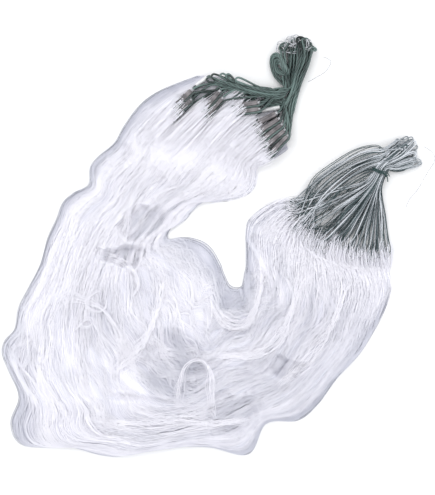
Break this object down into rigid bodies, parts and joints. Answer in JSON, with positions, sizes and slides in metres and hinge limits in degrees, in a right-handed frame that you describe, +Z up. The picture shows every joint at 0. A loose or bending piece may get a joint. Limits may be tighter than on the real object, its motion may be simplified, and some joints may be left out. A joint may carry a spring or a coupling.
{
  "type": "fishing net",
  "caption": "Gathered nylon monofilament fishing net with a sinker-weighted lead line in a hank and a head line in a tied fan, laid out in a C.",
  "frame": {"origin": "centre of the net's footprint, on the surface that it lies on", "axes": "+Z up, out of the surface; +Y towards the lead line's hank; +X towards the head line's fan"},
  "size_m": [0.5221, 0.506, 0.03],
  "materials": {
    "netting": "satin",
    "lead_line": "satin",
    "head_line": "satin",
    "sinker": "matte",
    "sleeve": "gloss",
    "hanging_twine": "satin",
    "clear_twine": "gloss",
    "tie": "satin"
  },
  "bodies": {
    "net": {"foot_knots": "hanging_twine", "head_knots": "hanging_twine", "lead_line_band": "lead_line", "lead_line_neck": "lead_line", "netting": "netting", "sinker_01": "sinker", "sinker_02": "sinker", "sinker_03": "sinker", "sinker_04": "sinker", "sinker_05": "sinker", "sinker_06": "sinker", "sinker_07": "sinker", "sinker_08": "sinker", "sinker_09": "sinker", "sinker_10": "sinker", "sinker_11": "sinker", "sinker_12": "sinker", "sinker_13": "sinker", "sinker_14": "sinker", "sinker_15": "sinker", "sinker_16": "sinker", "sinker_17": "sinker", "sinker_18": "sinker", "sinker_19": "sinker", "sinker_20": "sinker", "sinker_21": "sinker", "sinker_22": "sinker", "sleeve_left": "sleeve", "sleeve_right": "sleeve", "tip_lashing": "hanging_twine"},
    "lead_hank": {"lead_line_hank": "lead_line", "lead_line_bight": "lead_line", "lead_end_loops": "clear_twine", "lead_tail": "clear_twine"},
    "head_hank": {"head_line_fan": "head_line", "head_line_loops": "head_line", "head_tie": "tie", "head_tail": "clear_twine"}
  },
  "joints": [
    {"name": "lead_hank_lift", "type": "hinge", "parent": "net", "child": "lead_hank", "pos_m": [0.095, 0.191, 0.0145], "axis": [1, 0, 0], "range_deg": [0, 80]},
    {"name": "head_hank_lift", "type": "hinge", "parent": "net", "child": "head_hank", "pos_m": [0.148, -0.0155, 0.0125], "axis": [0.9868, -0.1617, 0], "range_deg": [0, 60]}
  ]
}
